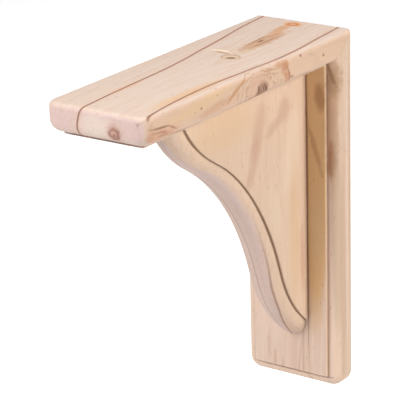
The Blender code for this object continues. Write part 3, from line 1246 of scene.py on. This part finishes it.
@dataclass
class OgeeBrace:
    """The brace in the corner: an ogee front with a quarter-round on each side and a step."""

    thickness: float = 0.0224
    offset: float = 0.0014          # to the right of the middle
    depth: float = 0.130
    height: float = 0.165
    step: float = 0.0016            # from the quarter-round out to the side
    ridge: float = 0.0004           # flat between the two quarter-rounds
    plate_thickness: float = 0.018
    board_thickness: float = 0.018
    gap: float = 0.0003
    spans: tuple[Span, ...] = (Span(67, 31, 76), Span(31, 70, 148), Span(70, 70, 10, steps=2),
                               Span(70, 33, 90))
    round_steps: int = 12
    overrun: float = 0.03           # past the board and the plate before it is sawn
    back: float = 0.045             # of the slab, behind the wall
    eased: float = 0.0002
    finish: PineFinish = BRACE_PINE

    def ogee(self) -> list[Vector]:
        """Draws the front curve with arcs, from above the board's underside to behind the plate.

        Returns:
            Points as (0, y, z).
        """
        place = Vector((0.0, 0.0))
        drawn = [place]
        for span in self.spans:
            turn = math.radians(span.end - span.start)
            length = span.share * abs(turn) if turn else span.share
            for index in range(span.steps):
                slope = math.radians(span.start) + turn * (index + 0.5) / span.steps
                place = place + Vector((math.cos(slope), -math.sin(slope))) * length / span.steps
                drawn.append(place)
        reach, drop = drawn[-1]
        front = -self.plate_thickness - self.gap - self.depth
        level = TOP - self.board_thickness - self.gap
        points = [Vector((0, front + p.x * self.depth / reach, level + p.y * self.height / -drop))
                  for p in drawn]
        before = (points[0] - points[1]).normalized() * self.overrun
        after = (points[-1] - points[-2]).normalized() * self.overrun
        return [points[0] + before] + points + [points[-1] + after]

    def shape(self, name: str) -> Workpiece:
        """Shapes the brace from a slab that is drawn down along the ogee.

        Args:
            name: Name of the piece.

        Returns:
            The shaped brace.
        """
        line = self.ogee()
        width = self.thickness - 2 * self.step
        first = line[1] - line[0]
        middle = (self.offset, (line[0].y + self.back) / 2, line[0].z + first.z / 2)
        slab = Workpiece(name, (width, self.back - line[0].y, -first.z), middle)
        with slab.shaping():
            slab.pick(Pick.EDGES, lambda edge: all(
                v.co.z < middle[2] and v.co.y < 0 for v in edge.verts))
            bpy.ops.transform.translate(value=(0, first.y, 0))
            for before, after in zip(line[1:], line[2:]):
                slab.pick(Pick.FACES, lambda face, low=before.z: looks_down(face)
                          and abs(face.calc_center_median().z - low) < NEAR)
                drop = (0, 0, after.z - before.z)
                bpy.ops.mesh.extrude_region_move(TRANSFORM_OT_translate={"value": drop})
                slab.pick(Pick.EDGES, lambda edge, low=after.z, front=before.y: all(
                    abs(v.co.z - low) < NEAR and abs(v.co.y - front) < NEAR for v in edge.verts))
                bpy.ops.transform.translate(value=(0, after.y - before.y, 0))
        self.round_front(slab, line)
        self.raise_sides(slab)
        slab.saw(Vector((0, -self.plate_thickness - self.gap, 0)), Vector((0, 1, 0)))
        slab.saw(Vector((0, 0, TOP - self.board_thickness - self.gap)), Vector((0, 0, 1)))
        return slab

    def round_front(self, slab: Workpiece, line: Sequence[Vector]) -> None:
        """Runs a quarter-round down both edges of the front.

        Args:
            slab: The slab.
            line: The front curve.
        """
        fronts = {round(point.z / MM, 2): point.y for point in line}

        def on_front(edge: bmesh.types.BMEdge) -> bool:
            """Says whether an edge runs down the front curve."""
            upright = abs(edge.verts[0].co.x - edge.verts[1].co.x) < NEAR < climb(edge)
            return upright and all(abs(fronts.get(round(v.co.z / MM, 2), math.inf) - v.co.y) < MM / 20
                                   for v in edge.verts)

        radius = (self.thickness - self.ridge) / 2 - self.step
        with slab.shaping():
            slab.pick(Pick.EDGES, on_front)
            bpy.ops.mesh.bevel(offset=radius, segments=self.round_steps, affect="EDGES",
                               clamp_overlap=False)

    def raise_sides(self, slab: Workpiece) -> None:
        """Raises the flat sides above the quarter-rounds by one step.

        Args:
            slab: The slab.
        """
        half = self.thickness / 2 - self.step
        for side in Side:
            flat = self.offset + side.value * half
            with slab.shaping():
                slab.pick(Pick.FACES, lambda face, flat=flat: all(
                    abs(v.co.x - flat) < NEAR for v in face.verts))
                out = (side.value * self.step, 0, 0)
                bpy.ops.mesh.extrude_region_move(TRANSFORM_OT_translate={"value": out})

    def build(self, effects: WoodEffects) -> bpy.types.Object:
        """Builds the brace.

        Args:
            effects: The shared effects.

        Returns:
            The finished brace.
        """
        brace = self.shape("ogee_brace")
        brace.ease(self.eased)
        return brace.finish(self.finish.material(effects), "brace", "brace_pine")


# ---- Studio ----


@dataclass(frozen=True)
class PhotoCamera:
    """The camera, aimed as in the photograph; angles in degrees, lengths in metres."""

    yaw: float = 35.27
    pitch: float = 19.45
    roll: float = -1.57
    distance: float = 1.19458
    aim: Point = (0.0, -0.1, 0.0065)
    across: float = -0.0038
    up: float = 0.02268
    focal: float = 2200.0
    image: float = 400.0            # side of the photograph, in pixels, as the focal length is
    sensor: float = 36.0            # in millimetres
    nearest: float = 0.05
    farthest: float = 20.0

    def place(self) -> None:
        """Places the camera and makes it the scene's."""
        yaw, roll = math.radians(self.yaw), math.radians(self.roll)
        back = direction(self.yaw, self.pitch)
        level = Vector((math.cos(yaw), math.sin(yaw), 0))
        rise = back.cross(level)
        right = level * math.cos(roll) + rise * math.sin(roll)
        upright = rise * math.cos(roll) - level * math.sin(roll)
        data = bpy.data.cameras.new("photo_camera")
        data.sensor_fit = "HORIZONTAL"
        data.sensor_width = self.sensor
        data.lens = self.focal / self.image * self.sensor
        data.clip_start = self.nearest
        data.clip_end = self.farthest
        made = bpy.data.objects.new("photo_camera", data)
        bpy.context.scene.collection.objects.link(made)
        eye = Vector(self.aim) + back * self.distance + right * self.across + upright * self.up
        turn = Matrix((right, upright, back)).transposed().to_4x4()
        made.matrix_world = Matrix.Translation(eye) @ turn
        bpy.context.scene.camera = made


@dataclass(frozen=True)
class SoftBox:
    """A square soft white lamp that faces the bracket; its angles are in degrees."""

    name: str
    azimuth: float
    elevation: float
    size: float
    power: float
    distance: float = 1.6
    aim: Point = (0.0, -0.08, 0.0)

    def hang(self) -> None:
        """Hangs the lamp."""
        away = direction(self.azimuth, self.elevation)
        data = bpy.data.lights.new(self.name, "AREA")
        data.energy = self.power
        data.size = self.size
        lamp = bpy.data.objects.new(self.name, data)
        bpy.context.scene.collection.objects.link(lamp)
        lamp.location = Vector(self.aim) + away * self.distance
        lamp.rotation_euler = away.to_track_quat("Z", "Y").to_euler()


@dataclass(frozen=True)
class Studio:
    """A pale table that burns out to white behind the bracket, and three soft lamps."""

    floor_level: float = -0.20
    floor_size: float = 60.0
    floor_shade: float = 0.9
    floor_roughness: float = 0.9
    backdrop_glow: float = 0.7
    lamps: tuple[SoftBox, ...] = (
        SoftBox("left_box", azimuth=-18, elevation=35, size=0.8, power=19),
        SoftBox("right_box", azimuth=101, elevation=28, size=0.5, power=16.5),
        SoftBox("top_box", azimuth=0, elevation=88, size=0.8, power=11.3),
    )

    def build(self) -> None:
        """Builds the floor, the room's light and the lamps."""
        bpy.ops.object.select_all(action="DESELECT")
        bpy.ops.mesh.primitive_plane_add(size=self.floor_size, location=(0, 0, self.floor_level))
        floor = bpy.context.object
        floor.name = "floor"
        floor.data.materials.append(self.floor_paint())
        world = bpy.data.worlds.new("room")
        world.use_nodes = True
        world.node_tree.nodes["Background"].inputs["Strength"].default_value = 0.0
        bpy.context.scene.world = world
        bpy.context.scene.view_settings.view_transform = "Standard"
        for lamp in self.lamps:
            lamp.hang()

    def floor_paint(self) -> bpy.types.Material:
        """Makes the matt white of the lit table, which glows only for the camera.

        Returns:
            The material.
        """
        paint = bpy.data.materials.new("pale_floor")
        paint.use_nodes = True
        shader = paint.node_tree.nodes["Principled BSDF"]
        shade = self.floor_shade
        shader.inputs["Base Color"].default_value = (shade, shade, shade, 1)
        shader.inputs["Roughness"].default_value = self.floor_roughness
        shader.inputs["Emission Color"].default_value = (1, 1, 1, 1)
        wires = Wiring(paint.node_tree)
        seen = wires.node("LightPath").outputs["Is Camera Ray"]
        wires.feed(shader.inputs["Emission Strength"], wires.times(seen, self.backdrop_glow))
        return paint


def main() -> None:
    """Builds the bracket, the studio and the camera, and logs each piece's faces and material."""
    logging.basicConfig(level=logging.INFO, format="%(message)s")
    effects = WoodEffects()
    for part in (ShelfBoard(), WallPlate(), OgeeBrace()):
        piece = part.build(effects)
        LOG.info("%s: %d faces, material %s", piece.name, len(piece.data.polygons), part.finish.name)
    Studio().build()
    PhotoCamera().place()


if __name__ == "__main__":
    main()
